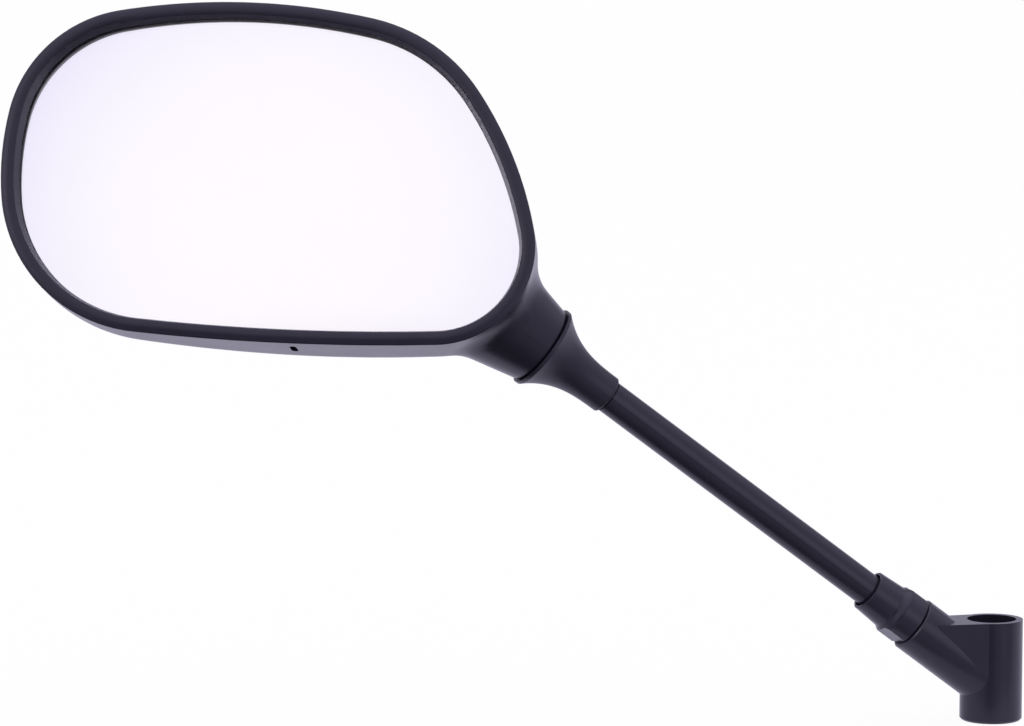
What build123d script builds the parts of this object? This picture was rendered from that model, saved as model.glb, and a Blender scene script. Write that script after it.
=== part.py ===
"""A left-hand motorcycle mirror, in millimetres, +Z up.

The origin is on the bolt axis, at the bottom face of the base. The stem climbs to the left (-X) and a little
towards the rider (-Y), and carries the head on a spring-loaded ball swivel.
"""
import os
from math import asin, cos, degrees, radians, sin, sqrt, tan

from build123d import *

os.makedirs("parts", exist_ok=True)

# Clearances
RUN_CLEARANCE = 0.08
BALL_CLEARANCE = 0.2
LAP_CLEARANCE = 0.1
SEAT_CLEARANCE = 0.02

# Base: the boss takes an M8 cap screw, the arm takes the foot of the stem
BOLT_HOLE_DIA = 8.5
SCREW_HEAD_BORE_DIA = 15.0
SCREW_SEAT_HEIGHT = 10.0
BOSS_WALL = 2.0
BOSS_HEIGHT = 31.0
BOSS_EDGE = 0.6
ARM_ELEVATION = 37.1
ARM_PLAN_ANGLE = 13.15
ARM_ROOT_HEIGHT = 11.4
ARM_LENGTH = 32.0
ARM_WALL = 3.5
ARM_EDGE = 0.5
WEB_STEP = 0.6
WEB_REACH = 18.0
WEB_TAPER = 1.4
SOCKET_WALL = 2.5

# Stem
STEM_DIA = 10.0
STEM_FOOT_GAP = 0.5
STEM_EDGE = 0.5
GROOVE_WIDTH = 0.7
GROOVE_DEPTH = 0.5
STUD_DIA = 6.0
STUD_STANDOUT = 1.5

# Lock nut, against the end of the arm: round, with two spanner flats and a tapered skirt
NUT_HEIGHT = 7.8
NUT_WALL = 3.3
NUT_SLOPE = 1.0
NUT_BLEND = 1.8
NUT_FLAT_DEPTH = 1.25
NUT_FLAT_TURN = 12.0
SEAM_WIDTH = 0.7
SEAM_DEPTH = 1.6
SKIRT_LENGTH = 9.8
SKIRT_ROOT_WALL = 1.4
SKIRT_MOUTH_WALL = 0.8
SKIRT_GAP = 0.7
SKIRT_EDGE = 0.3

# Swivel: the ball end of the neck, gripped between the cup and the sprung pressure cup
SWIVEL_STATION = 186.6
SWIVEL_TILT = 10.0
BALL_RADIUS = 15.0
BALL_WALL = 2.0
CUP_MOUTH_OFFSET = 9.3
CUP_LENGTH = 25.2
CUP_LIP = 1.0
CUP_LIP_LAND = 1.0
CUP_TAIL_WALL = 0.7
CUP_TAIL_EDGE = 0.5
CUP_TAIL_GAP = 0.2
CUP_TAIL_GAP_DEPTH = 1.5
CUP_WEB = 3.0
LINER_THICKNESS = 0.5
LINER_START = 26.0
LINER_END = 34.0
LINER_PLAY = 1.5
PRESSURE_CUP_END = 50.0
PRESSURE_CUP_BACK = 6.0
SPRING_LENGTH = 9.0
SPRING_COIL_DIA = 10.0
SPRING_WIRE_DIA = 1.8
SPRING_TURNS = 3.5
WASHER_DIA = 13.0
WASHER_THICKNESS = 1.2
STUD_NUT_FLATS = 10.0
STUD_NUT_HEIGHT = 5.5
INSERT_WALL = 0.9
INSERT_HEIGHT = 1.8

# Head: the pitch and yaw of the glass, and the outline of the rim in the plane of the glass
HEAD_PITCH = 19.0
HEAD_YAW = 5.0
FACE_OFFSET = 24.0
OUTLINE_SHIFT = (-73.0, 40.9)
OUTLINE_CORNERS = [(81.1, -49.9), (47.9, 42.2), (-68.1, 44.5), (-65.2, -45.0)]
OUTLINE_RISES = [10.8, 8.8, 12.6, 3.9]
OUTLINE_RADII = [29.2, 52.5, 38.8, 46.1]

# Shell
SHELL_WALL = 2.2
SHELL_DEPTH = 36.0
SHELL_DRAFT = 2.0
SHELL_ROUND = 16.0
CROWN_RADIUS = 280.0
CROWN_SHIFT = (25.0, -10.0)
NECK_START_OFFSET = 8.6
NECK_FLARE = 12.5
NECK_REACH = 24.0
NECK_BLEND = 12.0
DRAIN_WIDTH = 2.0
DRAIN_LENGTH = 7.5
DRAIN_ALONG = 8.9
DRAIN_DEPTH = 9.75

# Rim: bezel, glass and gasket
BEZEL_DEPTH = 1.3
BEZEL_SLOPE_DEPTH = 0.9
BEZEL_SLOPE_WIDTH = 1.8
BEZEL_CROWN = 3.5
BEZEL_WIDTH = 3.85
BEZEL_DISH_DEPTH = 0.5
BEZEL_OUTER_EDGE = 0.5
BEZEL_INNER_EDGE = 0.4
BEZEL_WALL_DRAFT = 16.0
SPIGOT_SETBACK = 1.0
SPIGOT_DEPTH = 4.0
GLASS_SETBACK = 2.0
GLASS_THICKNESS = 2.0
GLASS_RADIUS = 1300.0
GLASS_APEX_DEPTH = 2.3
LEDGE_DEPTH = 7.6
LEDGE_THICKNESS = 2.0
LEDGE_WIDTH = 3.0

# Frames: the stem frame runs up the stem, its X axis towards the rider; the head frame faces out of the glass
rise = radians(ARM_ELEVATION)
plan = radians(ARM_PLAN_ANGLE)
stem_axis = Vector(-cos(rise) * cos(plan), -cos(rise) * sin(plan), sin(rise))
rider_side = Vector(sin(plan), -cos(plan), 0)
stem_frame = Plane(origin=(0, 0, ARM_ROOT_HEIGHT), x_dir=rider_side, z_dir=stem_axis)
swivel_frame = stem_frame.offset(SWIVEL_STATION)

pitch = radians(HEAD_PITCH)
yaw = radians(HEAD_YAW)
glass_axis = Vector(-sin(yaw) * cos(pitch), -cos(yaw) * cos(pitch), sin(pitch))
head_right = Vector(cos(yaw), -sin(yaw), 0)
head_up = glass_axis.cross(head_right)
head_shift = head_right * OUTLINE_SHIFT[0] + head_up * OUTLINE_SHIFT[1]
head_origin = swivel_frame.origin + glass_axis * FACE_OFFSET + head_shift
head_frame = Plane(origin=head_origin, x_dir=head_right, z_dir=glass_axis)

# Base and stem, worked out
boss_radius = SCREW_HEAD_BORE_DIA / 2 + BOSS_WALL
stem_radius = STEM_DIA / 2
stud_radius = STUD_DIA / 2
socket_radius = stem_radius + RUN_CLEARANCE
socket_floor = (SCREW_HEAD_BORE_DIA / 2 + SOCKET_WALL + socket_radius * sin(rise)) / cos(rise)
arm_radius = socket_radius + ARM_WALL
nut_radius = socket_radius + NUT_WALL
skirt_bore = stem_radius + SKIRT_GAP

# Swivel, worked out: heights are measured from its centre, up the stem
seat_radius = BALL_RADIUS + BALL_CLEARANCE
liner_radius = BALL_RADIUS + BALL_CLEARANCE / 2
liner_pocket = liner_radius + LINER_THICKNESS + BALL_CLEARANCE / 2
ball_bore = BALL_RADIUS - BALL_WALL
pressure_radius = ball_bore - BALL_CLEARANCE / 2
stud_bore = stud_radius + BALL_CLEARANCE
full_tilt = SWIVEL_TILT * sqrt(2)
ball_hole = BALL_RADIUS * sin(radians(full_tilt) + asin(stud_radius / BALL_RADIUS)) + BALL_CLEARANCE
neck_bore = ball_bore * sin(radians(PRESSURE_CUP_END + full_tilt)) + BALL_CLEARANCE
neck_start = sqrt(BALL_RADIUS**2 - NECK_START_OFFSET**2)
cup_tail = -CUP_MOUTH_OFFSET - CUP_LENGTH
stem_shoulder = -liner_pocket - CUP_WEB
spring_end = SPRING_LENGTH - PRESSURE_CUP_BACK
washer_end = spring_end + WASHER_THICKNESS
nut_end = washer_end + STUD_NUT_HEIGHT
stud_end = nut_end + STUD_STANDOUT
insert_radius = stud_radius + INSERT_WALL


def turned(points, roundings=()):
    """A ring or rod turned from a closed outline of (radius, height) points, with some rounded."""
    section = make_face(Polyline(*points, close=True))
    for point, radius in roundings:
        section = fillet(section.vertices().sort_by_distance(point)[0], radius)
    return revolve(Plane.XZ * section, Axis.Z)


def rod(radius, start, end):
    """A cylinder on the Z axis between two heights."""
    return Pos(0, 0, start) * Cylinder(radius, end - start, align=(Align.CENTER, Align.CENTER, Align.MIN))


def on_ball(radius, angle):
    """The (radius, height) point of a ball about the swivel's centre, at an angle from its lower pole."""
    return radius * sin(radians(angle)), -radius * cos(radians(angle))


def ball_arc(radius, start, end):
    """The arc of such a ball between two angles."""
    return ThreePointArc(on_ball(radius, start), on_ball(radius, (start + end) / 2), on_ball(radius, end))


def bowed_side(start, end, bow):
    """One side of the rim's outline, bowed out to the right of its direction."""
    first = Vector(*start)
    last = Vector(*end)
    run = last - first
    outward = Vector(run.Y, -run.X).normalized()
    return ThreePointArc(first, (first + last) / 2 + outward * bow, last)


def head_outline():
    """The rim's outline: four bowed sides with rounded corners."""
    ends = OUTLINE_CORNERS[1:] + OUTLINE_CORNERS[:1]
    sides = [bowed_side(*side) for side in zip(OUTLINE_CORNERS, ends, OUTLINE_RISES)]
    face = make_face(sides)
    for corner, radius in zip(OUTLINE_CORNERS, OUTLINE_RADII):
        face = fillet(face.vertices().sort_by_distance(corner)[0], radius)
    return face


outline_arcs = head_outline().edges()


def outline_face(inset, depth):
    """The outline at a depth behind the face of the rim, each arc moved inward towards its own centre."""
    arcs = []
    for arc in outline_arcs:
        points = [arc @ step for step in (0, 0.5, 1)]
        moved = [point + (arc.arc_center - point).normalized() * inset for point in points]
        arcs.append(ThreePointArc(*moved))
    return Pos(0, 0, -depth) * make_face(arcs)


def slab(inset, front, back):
    """The outline, moved inward by inset, between two depths."""
    return extrude(outline_face(inset, back), back - front)


def drafted_slab(inset, front, back, draft):
    """Such a slab that narrows towards its back."""
    narrowing = (back - front) * tan(radians(draft))
    return loft([outline_face(inset, front), outline_face(inset + narrowing, back)], ruled=True)


def band(outer_inset, inner_inset, front, back):
    """A ring that follows the outline between two insets and two depths."""
    return slab(outer_inset, front, back) - slab(inner_inset, front, back)


def glass_ball(sink):
    """The large ball that carries the curve of the glass, sunk below its face, its seam at the far side."""
    centre = (0, 0, -GLASS_APEX_DEPTH - GLASS_RADIUS)
    return Plane(centre, x_dir=(0, 0, -1), z_dir=(0, 1, 0)) * Sphere(GLASS_RADIUS - sink)


def crown_ball(inset):
    """The large ball that carries the curve of the shell's back, moved inward, its seam at the far side."""
    centre = (*CROWN_SHIFT, CROWN_RADIUS - SHELL_DEPTH)
    return Plane(centre, x_dir=(0, 0, 1), z_dir=(0, 1, 0)) * Sphere(CROWN_RADIUS - inset)


def behind(depth):
    """A block that holds everything deeper than a depth behind the face of the rim."""
    size = 10 * SHELL_DEPTH
    return Pos(0, 0, -depth - size / 2) * Box(size, size, size)


def base_elbow():
    """Cast base: upright boss, inclined arm, and the web that fills the angle between them."""
    boss = rod(boss_radius, 0, BOSS_HEIGHT)
    arm = stem_frame * rod(arm_radius, 0, ARM_LENGTH)
    near_circle = Circle(boss_radius - WEB_STEP)
    far_circle = Pos(-WEB_REACH * cos(plan), -WEB_REACH * sin(plan)) * Circle(boss_radius - WEB_TAPER)
    web = extrude(make_hull(near_circle.edges() + far_circle.edges()), BOSS_HEIGHT)
    size = 4 * BOSS_HEIGHT
    above_arm = Pos(0, size / 2, ARM_LENGTH - ARM_WALL - size / 2) * Box(size, size, size)
    body = boss + arm + (web & (stem_frame * above_arm))
    body = chamfer(body.edges().group_by(Axis.Z)[0], BOSS_EDGE)
    body -= rod(BOLT_HOLE_DIA / 2, -1, BOSS_HEIGHT)
    body -= rod(SCREW_HEAD_BORE_DIA / 2, SCREW_SEAT_HEIGHT, BOSS_HEIGHT + 1)
    body -= stem_frame * rod(socket_radius, socket_floor, ARM_LENGTH + 1)
    arm_end = body.faces().sort_by_distance(stem_frame.origin + stem_axis * ARM_LENGTH)[0]
    return chamfer(arm_end.edges(), ARM_EDGE)


def lock_nut():
    """Nut with two spanner flats and a tapered skirt, tightened against the arm on a narrow collar."""
    shoulder = ARM_LENGTH + NUT_HEIGHT
    mouth = shoulder + SKIRT_LENGTH
    brow = (nut_radius, shoulder - NUT_SLOPE)
    root = (skirt_bore + SKIRT_ROOT_WALL, shoulder + NUT_SLOPE)
    lip = (skirt_bore + SKIRT_MOUTH_WALL, mouth)
    points = [
        (socket_radius, ARM_LENGTH),
        (nut_radius - SEAM_DEPTH, ARM_LENGTH),
        (nut_radius - SEAM_DEPTH, ARM_LENGTH + SEAM_WIDTH),
        (nut_radius, ARM_LENGTH + SEAM_WIDTH),
        brow,
        root,
        lip,
        (skirt_bore, mouth),
        (skirt_bore, shoulder),
        (socket_radius, shoulder),
    ]
    nut = turned(points, [(brow, NUT_BLEND), (root, NUT_BLEND), (lip, SKIRT_EDGE)])
    flat = Pos(0, NUT_FLAT_DEPTH - 2 * nut_radius, shoulder - NUT_HEIGHT / 2)
    flat = flat * Box(4 * nut_radius, 2 * nut_radius, NUT_HEIGHT)
    for side in (0, 180):
        nut -= Rot(0, 0, NUT_FLAT_TURN + side) * flat
    return stem_frame * nut


def stem():
    """Rod with a threaded foot in the base, a groove at the tail of the cup and a stud at the head end."""
    foot = socket_floor + STEM_FOOT_GAP
    tail = SWIVEL_STATION + cup_tail
    groove_radius = stem_radius - GROOVE_DEPTH
    shoulder = SWIVEL_STATION + stem_shoulder
    tip = SWIVEL_STATION + stud_end
    points = [
        (0, foot),
        (stem_radius - STEM_EDGE, foot),
        (stem_radius, foot + STEM_EDGE),
        (stem_radius, tail - GROOVE_WIDTH),
        (groove_radius, tail - GROOVE_WIDTH),
        (groove_radius, tail + CUP_TAIL_GAP_DEPTH),
        (stem_radius, tail + CUP_TAIL_GAP_DEPTH),
        (stem_radius, shoulder),
        (stud_radius, shoulder),
        (stud_radius, tip - STEM_EDGE),
        (stud_radius - STEM_EDGE, tip),
        (0, tip),
    ]
    return stem_frame * turned(points)


def swivel_cup():
    """Trumpet-shaped cup: a round seat for the ball, and a tail that slips over the stem."""
    tail_radius = stem_radius + CUP_TAIL_GAP + CUP_TAIL_WALL
    lip_radius = sqrt(seat_radius**2 - CUP_MOUTH_OFFSET**2) + CUP_LIP
    land = -CUP_MOUTH_OFFSET - CUP_LIP_LAND
    third = (land - cup_tail) / 3
    first = (tail_radius, cup_tail)
    last = (lip_radius, land)
    horn = Bezier(first, (tail_radius, cup_tail + third), (tail_radius, land - third), last)
    rest = Polyline(last, (lip_radius, -CUP_MOUTH_OFFSET), (0, -CUP_MOUTH_OFFSET), (0, cup_tail), first)
    cup = revolve(Plane.XZ * make_face([horn] + rest.edges()), Axis.Z)
    cup = fillet(cup.edges().group_by(Axis.Z)[0], CUP_TAIL_EDGE)
    pocket_radius = liner_pocket * sin(radians(LINER_END + SWIVEL_TILT + LINER_PLAY))
    cup -= Sphere(seat_radius)
    cup -= Sphere(liner_pocket) & rod(pocket_radius, -2 * liner_pocket, 0)
    cup -= rod(socket_radius, cup_tail - 1, stem_shoulder)
    cup -= rod(stem_radius + CUP_TAIL_GAP, cup_tail - 1, cup_tail + CUP_TAIL_GAP_DEPTH)
    cup -= rod(stud_bore, stem_shoulder - 1, 0)
    return swivel_frame * cup


def friction_liner():
    """Thin spherical washer between the cup and the ball."""
    inside = ball_arc(liner_radius, LINER_START, LINER_END)
    outside = ball_arc(liner_radius + LINER_THICKNESS, LINER_START, LINER_END)
    ends = [Line(inside @ 0, outside @ 0), Line(inside @ 1, outside @ 1)]
    return swivel_frame * revolve(Plane.XZ * make_face([inside, outside] + ends), Axis.Z)


def pressure_cup():
    """Washer with a round front that bears on the inside of the ball."""
    front = ball_arc(pressure_radius, degrees(asin(stud_bore / pressure_radius)), PRESSURE_CUP_END)
    rim = (front @ 1).X
    back = Polyline(front @ 1, (rim, -PRESSURE_CUP_BACK), (stud_bore, -PRESSURE_CUP_BACK), front @ 0)
    return swivel_frame * revolve(Plane.XZ * make_face([front] + back.edges()), Axis.Z)


def swivel_spring():
    """Coil spring with its ends ground flat, between the pressure cup and the washer."""
    coil = Helix(SPRING_LENGTH / SPRING_TURNS, SPRING_LENGTH, SPRING_COIL_DIA / 2)
    wire = Plane(origin=coil @ 0, z_dir=coil % 0) * Circle(SPRING_WIRE_DIA / 2)
    spring = sweep(wire, path=coil, is_frenet=True) & rod(SPRING_COIL_DIA, 0, SPRING_LENGTH)
    return swivel_frame * Pos(0, 0, -PRESSURE_CUP_BACK) * spring


def thrust_washer():
    """Flat washer under the stud's nut."""
    washer = rod(WASHER_DIA / 2, spring_end, washer_end)
    return swivel_frame * (washer - rod(stud_bore, spring_end, washer_end))


def stud_nut():
    """Hexagon nut, its corners turned off at the top, with a pocket for its nylon insert."""
    hexagon = RegularPolygon(STUD_NUT_FLATS / 2, 6, major_radius=False)
    corner = STUD_NUT_FLATS / sqrt(3)
    drop = (corner - STUD_NUT_FLATS / 2) * tan(radians(30))
    points = [
        (0, washer_end),
        (corner, washer_end),
        (corner, nut_end - drop),
        (STUD_NUT_FLATS / 2, nut_end),
        (0, nut_end),
    ]
    nut = (Pos(0, 0, washer_end) * extrude(hexagon, STUD_NUT_HEIGHT)) & turned(points)
    nut -= rod(stud_radius + RUN_CLEARANCE, washer_end - 1, nut_end + 1)
    nut -= rod(insert_radius, nut_end - INSERT_HEIGHT, nut_end + 1)
    return swivel_frame * nut


def nut_insert():
    """Nylon ring that grips the stud."""
    floor = nut_end - INSERT_HEIGHT
    ring = rod(insert_radius - SEAT_CLEARANCE, floor, nut_end)
    return swivel_frame * (ring - rod(stud_radius + SEAT_CLEARANCE, floor, nut_end))


def shell_block(inset, front):
    """The head without its neck: the drafted outline, cut by the crown and rounded at its back edge."""
    block = drafted_slab(inset, front, 2 * SHELL_DEPTH, SHELL_DRAFT) & crown_ball(inset)
    back = block.faces().sort_by(Axis.Z)[0]
    return fillet(back.edges(), SHELL_ROUND - inset)


def neck_trunk():
    """The outside of the neck: a ball end that opens into a flared trunk."""
    slope = tan(radians(NECK_FLARE))
    foot_radius = neck_start - (BALL_RADIUS - NECK_START_OFFSET) * slope
    length = BALL_RADIUS + NECK_REACH
    cone = Pos(0, 0, length / 2 - BALL_RADIUS) * Cone(foot_radius, foot_radius + length * slope, length)
    trunk = cone & (Sphere(BALL_RADIUS) + rod(4 * BALL_RADIUS, 0, NECK_REACH))
    return (swivel_frame * trunk) & (head_frame * behind(BEZEL_DEPTH))


def neck_hollow():
    """The inside of the neck: a round seat for the pressure cup, a straight bore and the stud's hole."""
    bore = rod(neck_bore, -BALL_RADIUS, NECK_REACH)
    hollow = bore & (Sphere(ball_bore) + rod(2 * neck_bore, 0, NECK_REACH))
    hollow += rod(ball_hole, -BALL_RADIUS - 1, 0)
    return (swivel_frame * hollow) & (head_frame * behind(LEDGE_DEPTH + LEDGE_THICKNESS))


def housing():
    """Moulded head: shell, neck with its ball end, seat for the glass and a drain slot."""
    shell = head_frame * shell_block(0, BEZEL_DEPTH)
    trunk = neck_trunk()
    body = shell + trunk
    body = fillet(new_edges(shell, trunk, combined=body), NECK_BLEND)
    ledge_back = LEDGE_DEPTH + LEDGE_THICKNESS
    body -= head_frame * shell_block(SHELL_WALL, ledge_back)
    body -= head_frame * slab(GLASS_SETBACK + LEDGE_WIDTH, 0, ledge_back + 1)
    body -= head_frame * slab(GLASS_SETBACK, 0, LEDGE_DEPTH)
    body -= head_frame * slab(SPIGOT_SETBACK - LAP_CLEARANCE, 0, BEZEL_DEPTH + SPIGOT_DEPTH + LAP_CLEARANCE)
    body -= neck_hollow()
    low = outline_face(0, 0).bounding_box().min.Y
    drain_place = Pos(DRAIN_ALONG, low, -DRAIN_DEPTH) * Rot(90, 0, 0)
    drain = drain_place * SlotOverall(DRAIN_LENGTH, DRAIN_WIDTH, rotation=90)
    return body - head_frame * extrude(drain, 2 * SHELL_WALL + LEDGE_WIDTH, both=True)


def bezel():
    """Ring round the glass: crowned face, drafted mouth and a spigot that laps into the shell."""
    ridge = outline_face(BEZEL_SLOPE_WIDTH, 0)
    edge = slab(0, BEZEL_SLOPE_DEPTH, BEZEL_DEPTH)
    ring = edge + loft([outline_face(0, BEZEL_SLOPE_DEPTH), ridge], ruled=True)
    ring -= loft([ridge, outline_face(BEZEL_WIDTH, BEZEL_DISH_DEPTH)], ruled=True)
    ring = fillet(ring.edges().group_by(Axis.Z)[-1], BEZEL_CROWN)
    brow = ring.edges().filter_by_position(Axis.Z, -BEZEL_SLOPE_DEPTH, -BEZEL_SLOPE_DEPTH)
    ring = fillet(brow, BEZEL_OUTER_EDGE)
    ring += slab(SPIGOT_SETBACK, BEZEL_DEPTH, BEZEL_DEPTH + SPIGOT_DEPTH)
    ring -= drafted_slab(BEZEL_WIDTH, BEZEL_DISH_DEPTH, LEDGE_DEPTH, BEZEL_WALL_DRAFT)
    lip = ring.edges().filter_by_position(Axis.Z, -BEZEL_DISH_DEPTH, -BEZEL_DISH_DEPTH)
    ring = fillet(lip, BEZEL_INNER_EDGE)
    ring -= slab(GLASS_SETBACK, 0, LEDGE_DEPTH) & glass_ball(-SEAT_CLEARANCE)
    return head_frame * ring


def mirror_glass():
    """Convex mirror, held at its edge behind the bezel."""
    plate = slab(GLASS_SETBACK + LAP_CLEARANCE, 0, LEDGE_DEPTH)
    return head_frame * ((plate & glass_ball(0)) - glass_ball(GLASS_THICKNESS))


def glass_gasket():
    """Foam ring between the ledge of the shell and the back of the glass."""
    ring = band(GLASS_SETBACK + LAP_CLEARANCE, GLASS_SETBACK + LEDGE_WIDTH, 0, LEDGE_DEPTH)
    return head_frame * (ring & glass_ball(GLASS_THICKNESS + SEAT_CLEARANCE))


PIECES = [
    base_elbow,
    lock_nut,
    stem,
    swivel_cup,
    friction_liner,
    pressure_cup,
    swivel_spring,
    thrust_washer,
    stud_nut,
    nut_insert,
    housing,
    bezel,
    mirror_glass,
    glass_gasket,
]

for piece in PIECES:
    export_step(piece(), f"parts/{piece.__name__}.step")
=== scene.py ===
"""The finishes of a left-hand motorcycle mirror, the studio it stands in and the camera.

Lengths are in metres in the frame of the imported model: the origin is on the bolt axis at the foot of
the base, +Z is up, the stem climbs to -X and the glass faces -Y and a little up. Bearings are in degrees to
the right of the side that the camera is on, and rises are in degrees above level.
"""
from math import radians

import bpy
import numpy as np
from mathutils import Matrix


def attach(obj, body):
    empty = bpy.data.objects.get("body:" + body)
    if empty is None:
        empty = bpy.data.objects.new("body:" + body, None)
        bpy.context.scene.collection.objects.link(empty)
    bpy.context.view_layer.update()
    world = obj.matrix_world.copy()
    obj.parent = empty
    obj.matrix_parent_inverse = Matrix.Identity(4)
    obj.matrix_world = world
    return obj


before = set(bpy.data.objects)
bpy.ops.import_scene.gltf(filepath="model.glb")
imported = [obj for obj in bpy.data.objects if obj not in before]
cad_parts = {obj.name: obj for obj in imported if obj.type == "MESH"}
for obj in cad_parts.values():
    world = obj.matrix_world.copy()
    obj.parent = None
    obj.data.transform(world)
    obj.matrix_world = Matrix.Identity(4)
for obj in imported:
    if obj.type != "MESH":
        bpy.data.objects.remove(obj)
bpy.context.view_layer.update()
scene = bpy.context.scene

# Camera: a long lens, level from side to side and pitched a little down
CAMERA_AIM = (-0.14633, 0.0, 0.10953)
CAMERA_DISTANCE = 1.4
CAMERA_PITCH = 6.675
CAMERA_LENS = 162.384
SENSOR_WIDTH = 36.0

# Studio: a pale table that sweeps up into a backdrop
FLOOR_HALF_WIDTH = 6.0
FLOOR_FRONT = -0.03
FLOOR_BACK = 3.2
SWEEP_RADIUS = 1.5
SWEEP_STEPS = 24
BACKDROP_HEIGHT = 6.0
FLOOR_COLOUR = (0.92, 0.92, 0.92)
FLOOR_WHITENESS = 0.95
# Painted glow that only reflections see: the floor's colour, painted darker towards the wall's colour up to
# the height
FLOOR_GLOW_IN_REFLECTIONS = (0.92, 0.88, 1.12)
WALL_GLOW_IN_REFLECTIONS = (0.3, 0.28, 0.37)
WALL_GLOW_FADE_HEIGHT = 3.5

# Room: its brightness by rise and its tint
ROOM_SHADES = {-90: 0.1, -60: 0.15, -30: 0.6, -8: 0.6, 14: 0.9, 32: 1.0, 40: 1.0, 60: 1.4, 90: 1.5}
ROOM_TINT = (0.81, 0.78, 1.0)

# Soft-edged patches of the room: bearing, rise, outer and inner angle from the middle, and colour.
# Two soft boxes, the glow that the glass looks at and the dark by the camera
ROOM_PATCHES = {
    "left_box": (-52.0, 24.0, 22.0, 8.0, (2.3, 2.2, 2.5)),
    "right_box": (42.0, 8.0, 20.0, 6.0, (1.4, 1.35, 1.6)),
    "glow": (-13.8, 31.6, 14.0, 0.0, (1.06, 1.02, 1.06)),
    "dark": (-10.0, 2.9, 26.0, 6.0, (0.08, 0.07, 0.12)),
}

# Overhead lamp, which is left out of reflections
LAMP_HEIGHT = 1.6
LAMP_SIZE = 0.9
LAMP_POWER = 2.0

# Glass: where it faces, where its curve lies, and the silver just inside its back
GLASS_BEARING = -5.0
GLASS_RISE = 19.0
GLASS_APEX = np.array([-0.218276, -0.034671, 0.169695])
GLASS_RADIUS = 1.3
GLASS_THICKNESS = 0.002
EDGE_BEARINGS = 720
EDGE_LEAST_COSINE = 0.1
SILVER_COVER = 0.0001
SILVER_MARGIN = 0.0006
SILVER_SPOKES = 241
SILVER_RINGS = 33

# Finishes: the gloss is a roughness, the scales count features in a metre and the height is the grain's.
# The rest of each entry is the shader's own sockets
GRAIN_NOISE = {"Detail": 2.0, "Roughness": 0.55}
PATCH_NOISE = {"Detail": 4.0, "Roughness": 0.6}
NOISE_MIDDLE = 0.5
DUST_NOISE = {"Scale": 900.0, "Detail": 5.0, "Roughness": 0.7}
DUST_BREAKS = {"From Min": 0.35, "From Max": 0.75}
DUST_FACING = {"From Min": 0.35, "From Max": 1.0}
DUST_DULLING = 0.8
BLACK = {
    "colour": (0.0135, 0.0123, 0.0195),
    "dust": 0.04,
    "IOR": 1.45,
    "Specular_Tint": (0.92, 0.88, 1.0, 1.0),
}
CLEAR = {"grain_scale": 300, "colour_spread": 0.01, "gloss_spread": 0.004}
FINISHES = {
    "coated_metal": {**BLACK, "gloss": 0.29, "grain_scale": 1400, "grain_height": 4e-6, "patch_scale": 60},
    "cup_plastic": {**BLACK, "gloss": 0.38, "grain_scale": 3200, "grain_height": 8e-6},
    "shell_plastic": {**BLACK, "gloss": 0.29, "grain_scale": 2600, "grain_height": 6e-6},
    "bezel_plastic": {**BLACK, "gloss": 0.38, "grain_scale": 2600, "grain_height": 6e-6},
    "nylon": {
        "colour": (0.72, 0.7, 0.63),
        "gloss": 0.5,
        "grain_scale": 1800,
        "grain_height": 6e-6,
        "patch_scale": 200,
    },
    "zinc_steel": {
        "colour": (0.58, 0.59, 0.61),
        "gloss": 0.32,
        "grain_scale": 900,
        "grain_height": 4e-6,
        "patch_scale": 300,
        "Metallic": 1.0,
    },
    "foam": {
        "colour": (0.02, 0.02, 0.021),
        "gloss": 0.85,
        "grain_scale": 1500,
        "grain_height": 0.0002,
        "patch_scale": 300,
    },
    "glass": {
        **CLEAR,
        "colour": (0.985, 0.99, 0.99),
        "gloss": 0.004,
        "Transmission_Weight": 1.0,
        "IOR": 1.52,
    },
    "silver": {**CLEAR, "colour": (0.96, 0.955, 0.965), "gloss": 0.006, "Metallic": 1.0},
}
FINISH_OF = {
    "base_elbow": "coated_metal",
    "lock_nut": "coated_metal",
    "stem": "coated_metal",
    "swivel_cup": "cup_plastic",
    "friction_liner": "nylon",
    "pressure_cup": "nylon",
    "swivel_spring": "zinc_steel",
    "thrust_washer": "zinc_steel",
    "stud_nut": "zinc_steel",
    "nut_insert": "nylon",
    "housing": "shell_plastic",
    "bezel": "bezel_plastic",
    "mirror_glass": "glass",
    "glass_gasket": "foam",
}

# Sockets of a colour mix, whose names are shared by its other kinds
MIX_FACTOR = 0
MIX_FIRST = 6
MIX_SECOND = 7
MIX_RESULT = 2
WHITE = (1.0, 1.0, 1.0, 1.0)


def direction(bearing, rise):
    """The unit vector at a bearing and a rise: the sine and minus the cosine of the bearing, each times the
    cosine of the rise, and the sine of the rise."""
    side = radians(bearing)
    lift = radians(rise)
    return np.array([np.sin(side) * np.cos(lift), -np.cos(side) * np.cos(lift), np.sin(lift)])


GLASS_AXIS = direction(GLASS_BEARING, GLASS_RISE)
GLASS_RIGHT = direction(GLASS_BEARING + 90.0, 0.0)
GLASS_UP = np.cross(GLASS_AXIS, GLASS_RIGHT)


def new_object(name, vertices, faces):
    """A mesh object from an array of points and an array of faces, shaded smooth."""
    mesh = bpy.data.meshes.new(name)
    mesh.from_pydata(vertices.tolist(), [], faces.tolist())
    mesh.polygons.foreach_set("use_smooth", np.ones(len(faces), bool))
    piece = bpy.data.objects.new(name, mesh)
    scene.collection.objects.link(piece)
    return piece


def grid_faces(rows, columns):
    """The quads of a grid of points stored row by row."""
    corner = np.arange(rows - 1)[:, None] * columns + np.arange(columns - 1)
    return np.stack([corner, corner + 1, corner + columns + 1, corner + columns], axis=-1).reshape(-1, 4)


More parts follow.
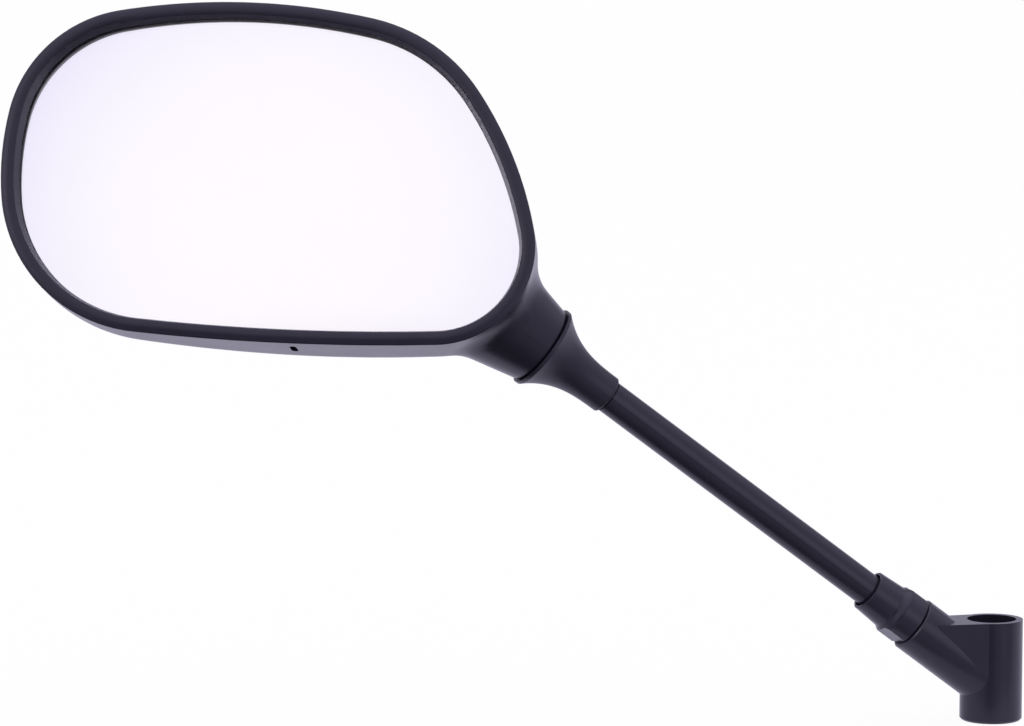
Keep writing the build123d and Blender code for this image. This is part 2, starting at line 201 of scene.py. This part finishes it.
def backdrop():
    """The profile (y, z): a run along the floor, a quarter circle of the sweep's radius, a run up the wall.
    It is carried straight along X."""
    turn = np.linspace(0, np.pi / 2, SWEEP_STEPS)
    bend_y = FLOOR_BACK + SWEEP_RADIUS * np.sin(turn)
    bend_z = SWEEP_RADIUS * (1 - np.cos(turn))
    profile_y = np.concatenate([[FLOOR_FRONT], bend_y, [FLOOR_BACK + SWEEP_RADIUS]])
    profile_z = np.concatenate([[0.0], bend_z, [BACKDROP_HEIGHT]])
    across = np.array([-FLOOR_HALF_WIDTH, FLOOR_HALF_WIDTH])
    points = np.stack(np.broadcast_arrays(across[:, None], profile_y, profile_z), axis=-1)
    return new_object("backdrop", points.reshape(-1, 3), grid_faces(len(across), len(profile_y)))


def glass_edge(angles):
    """How far the edge of the glass reaches from its apex at each angle round its axis.
    A line that touches the glass square to a bearing stands at the furthest point along it. The edge lies on
    the nearest of those lines, each at its distance over the cosine of the angle between."""
    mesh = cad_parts["mirror_glass"].data
    points = np.empty(3 * len(mesh.vertices))
    mesh.vertices.foreach_get("co", points)
    points = points.reshape(-1, 3) - GLASS_APEX
    flat = np.stack([points @ GLASS_RIGHT, points @ GLASS_UP])
    bearings = np.linspace(0, 2 * np.pi, EDGE_BEARINGS, endpoint=False)
    touching = (np.stack([np.cos(bearings), np.sin(bearings)], axis=1) @ flat).max(axis=1)
    facing = np.cos(angles[:, None] - bearings)
    reach = np.where(facing > EDGE_LEAST_COSINE, touching / np.maximum(facing, EDGE_LEAST_COSINE), np.inf)
    return reach.min(axis=1)


def silver_layer():
    """A cap of the ball that the back of the glass follows, on a polar grid about the axis of the glass.
    At a share s of the reach of the edge the cap lies r - sqrt(r^2 - (s reach)^2) below its pole."""
    ball = GLASS_RADIUS - GLASS_THICKNESS + SILVER_COVER
    angles = np.linspace(-np.pi, np.pi, SILVER_SPOKES)
    share = np.linspace(0, 1, SILVER_RINGS)[:, None]
    reach = share * (glass_edge(angles) - SILVER_MARGIN)
    drop = GLASS_THICKNESS - SILVER_COVER + ball - np.sqrt(ball**2 - reach**2)
    sideways = np.cos(angles)[:, None] * GLASS_RIGHT + np.sin(angles)[:, None] * GLASS_UP
    points = GLASS_APEX + reach[..., None] * sideways - drop[..., None] * GLASS_AXIS
    return new_object("silver_layer", points.reshape(-1, 3), grid_faces(len(share), len(angles)))


def add(tree, kind, inputs=None, **settings):
    """A new node with its settings made and its unlinked inputs filled in."""
    node = tree.nodes.new(kind)
    for name, value in settings.items():
        setattr(node, name, value)
    for name, value in (inputs or {}).items():
        node.inputs[name].default_value = value
    return node


def new_group(name, inputs, outputs):
    """An empty shader group with its sockets, and its two end nodes."""
    group = bpy.data.node_groups.new(name, "ShaderNodeTree")
    for label, kind, value in inputs:
        socket = group.interface.new_socket(label, in_out="INPUT", socket_type=kind)
        socket.default_value = value
    for label, kind in outputs:
        group.interface.new_socket(label, in_out="OUTPUT", socket_type=kind)
    return group, add(group, "NodeGroupInput"), add(group, "NodeGroupOutput")


def moulded_grain():
    """Fine grain for the height, and broad soft patches for the colour and the gloss."""
    group, given, made = new_group(
        "moulded_grain",
        [
            ("Colour", "NodeSocketColor", (0.01, 0.01, 0.01, 1)),
            ("Grain Scale", "NodeSocketFloat", 2500.0),
            ("Patch Scale", "NodeSocketFloat", 40.0),
            ("Colour Spread", "NodeSocketFloat", 0.5),
            ("Gloss", "NodeSocketFloat", 0.4),
            ("Gloss Spread", "NodeSocketFloat", 0.1),
        ],
        [("Colour", "NodeSocketColor"), ("Roughness", "NodeSocketFloat"), ("Height", "NodeSocketFloat")],
    )
    place = add(group, "ShaderNodeTexCoord")
    grain = add(group, "ShaderNodeTexNoise", GRAIN_NOISE)
    patches = add(group, "ShaderNodeTexNoise", PATCH_NOISE)
    centred = add(group, "ShaderNodeMath", {1: NOISE_MIDDLE}, operation="SUBTRACT")
    spread = add(group, "ShaderNodeMath", operation="MULTIPLY")
    gloss = add(group, "ShaderNodeMath", operation="ADD")
    lift = add(group, "ShaderNodeMath", {2: 1.0}, operation="MULTIPLY_ADD")
    tint = add(group, "ShaderNodeVectorMath", operation="SCALE")
    link = group.links.new
    link(place.outputs["Object"], grain.inputs["Vector"])
    link(place.outputs["Object"], patches.inputs["Vector"])
    link(given.outputs["Grain Scale"], grain.inputs["Scale"])
    link(given.outputs["Patch Scale"], patches.inputs["Scale"])
    link(patches.outputs["Fac"], centred.inputs[0])
    link(centred.outputs[0], spread.inputs[0])
    link(given.outputs["Gloss Spread"], spread.inputs[1])
    link(spread.outputs[0], gloss.inputs[0])
    link(given.outputs["Gloss"], gloss.inputs[1])
    link(centred.outputs[0], lift.inputs[0])
    link(given.outputs["Colour Spread"], lift.inputs[1])
    link(given.outputs["Colour"], tint.inputs[0])
    link(lift.outputs[0], tint.inputs["Scale"])
    link(tint.outputs["Vector"], made.inputs["Colour"])
    link(gloss.outputs[0], made.inputs["Roughness"])
    link(grain.outputs["Fac"], made.inputs["Height"])
    return group


def settled_dust():
    """A breath of pale dust on faces that look up, broken by a fine noise."""
    group, given, made = new_group(
        "settled_dust",
        [
            ("Colour", "NodeSocketColor", (0.01, 0.01, 0.01, 1)),
            ("Roughness", "NodeSocketFloat", 0.4),
            ("Dust Colour", "NodeSocketColor", (0.3, 0.29, 0.28, 1)),
            ("Amount", "NodeSocketFloat", 0.05),
        ],
        [("Colour", "NodeSocketColor"), ("Roughness", "NodeSocketFloat")],
    )
    place = add(group, "ShaderNodeTexCoord")
    surface = add(group, "ShaderNodeNewGeometry")
    facing = add(group, "ShaderNodeSeparateXYZ")
    upward = add(group, "ShaderNodeMapRange", DUST_FACING, interpolation_type="SMOOTHSTEP")
    specks = add(group, "ShaderNodeTexNoise", DUST_NOISE)
    broken = add(group, "ShaderNodeMapRange", DUST_BREAKS)
    cover = add(group, "ShaderNodeMath", operation="MULTIPLY")
    amount = add(group, "ShaderNodeMath", operation="MULTIPLY")
    dusted = add(group, "ShaderNodeMix", data_type="RGBA")
    dulled = add(group, "ShaderNodeMath", {1: DUST_DULLING}, operation="MULTIPLY_ADD")
    link = group.links.new
    link(surface.outputs["Normal"], facing.inputs[0])
    link(facing.outputs["Z"], upward.inputs["Value"])
    link(place.outputs["Object"], specks.inputs["Vector"])
    link(specks.outputs["Fac"], broken.inputs["Value"])
    link(upward.outputs["Result"], cover.inputs[0])
    link(broken.outputs["Result"], cover.inputs[1])
    link(cover.outputs[0], amount.inputs[0])
    link(given.outputs["Amount"], amount.inputs[1])
    link(amount.outputs[0], dusted.inputs[MIX_FACTOR])
    link(given.outputs["Colour"], dusted.inputs[MIX_FIRST])
    link(given.outputs["Dust Colour"], dusted.inputs[MIX_SECOND])
    link(amount.outputs[0], dulled.inputs[0])
    link(given.outputs["Roughness"], dulled.inputs[2])
    link(dusted.outputs[MIX_RESULT], made.inputs["Colour"])
    link(dulled.outputs[0], made.inputs["Roughness"])
    return group


GRAIN = moulded_grain()
DUST = settled_dust()


def new_material(name):
    """A material with no nodes yet, and its tree."""
    material = bpy.data.materials.new(name)
    material.use_nodes = True
    material.node_tree.nodes.clear()
    return material, material.node_tree


def grained(
    name, colour, gloss, grain_scale, grain_height=0.0, colour_spread=0.8, gloss_spread=0.1, patch_scale=40.0,
    dust=0.0, **sockets
):
    """A material with the moulded grain, and a bump and dust where there are any. The other sockets are plain
    values of the shader."""
    material, tree = new_material(name)
    shader = add(tree, "ShaderNodeBsdfPrincipled")
    out = add(tree, "ShaderNodeOutputMaterial")
    settings = {
        "Colour": (*colour, 1),
        "Grain Scale": grain_scale,
        "Patch Scale": patch_scale,
        "Colour Spread": colour_spread,
        "Gloss": gloss,
        "Gloss Spread": gloss_spread,
    }
    grain = add(tree, "ShaderNodeGroup", settings, node_tree=GRAIN)
    link = tree.links.new
    finish = grain
    if dust:
        finish = add(tree, "ShaderNodeGroup", {"Amount": dust}, node_tree=DUST)
        link(grain.outputs["Colour"], finish.inputs["Colour"])
        link(grain.outputs["Roughness"], finish.inputs["Roughness"])
    if grain_height:
        bump = add(tree, "ShaderNodeBump", {"Strength": 1.0, "Distance": grain_height})
        link(grain.outputs["Height"], bump.inputs["Height"])
        link(bump.outputs["Normal"], shader.inputs["Normal"])
    link(finish.outputs["Colour"], shader.inputs["Base Color"])
    link(finish.outputs["Roughness"], shader.inputs["Roughness"])
    link(shader.outputs[0], out.inputs[0])
    for socket, value in sockets.items():
        shader.inputs[socket.replace("_", " ")].default_value = value
    return material


def backdrop_paint():
    """Matt pale paint. The camera sees it whitened, and reflections see a painted glow on it, pale on the
    floor and painted darker up the wall. The object's shadow is left in both."""
    material, tree = new_material("backdrop_paint")
    paint = add(tree, "ShaderNodeBsdfDiffuse", {"Color": (*FLOOR_COLOUR, 1)})
    glow = add(tree, "ShaderNodeEmission")
    surface = add(tree, "ShaderNodeNewGeometry")
    axes = add(tree, "ShaderNodeSeparateXYZ")
    # Painted glow for reflections, painted darker with height up the wall
    height = add(tree, "ShaderNodeMapRange", {"From Max": WALL_GLOW_FADE_HEIGHT})
    ends = {MIX_FIRST: (*FLOOR_GLOW_IN_REFLECTIONS, 1), MIX_SECOND: (*WALL_GLOW_IN_REFLECTIONS, 1)}
    reflected_glow = add(tree, "ShaderNodeMix", ends, data_type="RGBA")
    glow_colour = add(tree, "ShaderNodeMix", {MIX_SECOND: WHITE}, data_type="RGBA")
    path = add(tree, "ShaderNodeLightPath")
    seen = add(tree, "ShaderNodeMath", operation="MAXIMUM")
    seen_through = add(tree, "ShaderNodeMath", operation="MAXIMUM")
    share = add(tree, "ShaderNodeMath", {1: FLOOR_WHITENESS}, operation="MULTIPLY")
    mix = add(tree, "ShaderNodeMixShader")
    out = add(tree, "ShaderNodeOutputMaterial")
    link = tree.links.new
    link(surface.outputs["Position"], axes.inputs[0])
    link(axes.outputs["Z"], height.inputs["Value"])
    link(height.outputs["Result"], reflected_glow.inputs[MIX_FACTOR])
    link(reflected_glow.outputs[MIX_RESULT], glow_colour.inputs[MIX_FIRST])
    link(path.outputs["Is Camera Ray"], glow_colour.inputs[MIX_FACTOR])
    link(glow_colour.outputs[MIX_RESULT], glow.inputs["Color"])
    link(path.outputs["Is Camera Ray"], seen.inputs[0])
    link(path.outputs["Is Glossy Ray"], seen.inputs[1])
    link(seen.outputs[0], seen_through.inputs[0])
    link(path.outputs["Is Transmission Ray"], seen_through.inputs[1])
    link(seen_through.outputs[0], share.inputs[0])
    link(share.outputs[0], mix.inputs[0])
    link(paint.outputs[0], mix.inputs[1])
    link(glow.outputs[0], mix.inputs[2])
    link(mix.outputs[0], out.inputs[0])
    return material


def towards(tree, place, middle, outer, inner):
    """1 where a world direction lies within the inner angle of the middle, 0 beyond the outer angle."""
    nearness = add(tree, "ShaderNodeVectorMath", {1: middle}, operation="DOT_PRODUCT")
    angles = {"From Min": np.cos(radians(outer)), "From Max": np.cos(radians(inner))}
    share = add(tree, "ShaderNodeMapRange", angles, interpolation_type="SMOOTHSTEP")
    tree.links.new(place.outputs["Generated"], nearness.inputs[0])
    tree.links.new(nearness.outputs["Value"], share.inputs["Value"])
    return share.outputs["Result"]


def pale_room():
    """The world: a room that is brighter the higher it is, with its patches laid over each other in turn, and
    plain white to the camera. The shades lie on a ramp at one half plus half the sine of their rise."""
    world = bpy.data.worlds.new("pale_room")
    world.use_nodes = True
    tree = world.node_tree
    tree.nodes.clear()
    place = add(tree, "ShaderNodeTexCoord")
    axes = add(tree, "ShaderNodeSeparateXYZ")
    height = add(tree, "ShaderNodeMapRange", {"From Min": -1.0, "From Max": 1.0})
    shades = add(tree, "ShaderNodeValToRGB")
    brightest = max(ROOM_SHADES.values())
    stops = shades.color_ramp.elements
    while len(stops) < len(ROOM_SHADES):
        stops.new(0.5)
    for stop, (rise, shade) in zip(stops, ROOM_SHADES.items()):
        stop.position = 0.5 + 0.5 * np.sin(radians(rise))
        stop.color = (*[shade / brightest] * 3, 1)
    tint = add(tree, "ShaderNodeVectorMath", {1: np.array(ROOM_TINT) * brightest}, operation="MULTIPLY")
    room = add(tree, "ShaderNodeBackground")
    white = add(tree, "ShaderNodeBackground", {"Color": WHITE})
    path = add(tree, "ShaderNodeLightPath")
    mix = add(tree, "ShaderNodeMixShader")
    out = add(tree, "ShaderNodeOutputWorld")
    link = tree.links.new
    link(place.outputs["Generated"], axes.inputs[0])
    link(axes.outputs["Z"], height.inputs["Value"])
    link(height.outputs["Result"], shades.inputs["Fac"])
    link(shades.outputs["Color"], tint.inputs[0])
    colour = tint.outputs["Vector"]
    for bearing, rise, outer, inner, patch_colour in ROOM_PATCHES.values():
        laid = add(tree, "ShaderNodeMix", {MIX_SECOND: (*patch_colour, 1)}, data_type="RGBA")
        link(towards(tree, place, direction(bearing, rise), outer, inner), laid.inputs[MIX_FACTOR])
        link(colour, laid.inputs[MIX_FIRST])
        colour = laid.outputs[MIX_RESULT]
    link(colour, room.inputs["Color"])
    link(path.outputs["Is Camera Ray"], mix.inputs[0])
    link(room.outputs[0], mix.inputs[1])
    link(white.outputs[0], mix.inputs[2])
    link(mix.outputs[0], out.inputs[0])
    return world


def overhead_lamp():
    """A square area lamp above the object, facing down."""
    light = bpy.data.lights.new("overhead_lamp", "AREA")
    light.size = LAMP_SIZE
    light.energy = LAMP_POWER
    lamp = bpy.data.objects.new("overhead_lamp", light)
    lamp.location = (CAMERA_AIM[0], CAMERA_AIM[1], LAMP_HEIGHT)
    lamp.visible_glossy = False
    scene.collection.objects.link(lamp)


def long_lens_camera():
    """A camera at its distance from the aim, back along a line that falls by the pitch towards +Y."""
    lens = bpy.data.cameras.new("camera")
    lens.lens = CAMERA_LENS
    lens.sensor_width = SENSOR_WIDTH
    camera = bpy.data.objects.new("camera", lens)
    pitch = radians(CAMERA_PITCH)
    forward = np.array([0.0, np.cos(pitch), -np.sin(pitch)])
    camera.location = np.array(CAMERA_AIM) - CAMERA_DISTANCE * forward
    camera.rotation_euler = (np.pi / 2 - pitch, 0, 0)
    scene.collection.objects.link(camera)
    return camera


# Finishes on the pieces
materials = {name: grained(name, **finish) for name, finish in FINISHES.items()}
for node_name, finish_name in FINISH_OF.items():
    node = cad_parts[node_name]
    node.data.materials.clear()
    node.data.materials.append(materials[finish_name])

# Silver behind the glass
silver = silver_layer()
silver.data.materials.append(materials["silver"])
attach(silver, "head")

# Studio and camera
overhead_lamp()
stage_floor = backdrop()
stage_floor.data.materials.append(backdrop_paint())
scene.world = pale_room()
scene.camera = long_lens_camera()

scene.view_settings.view_transform = "Standard"
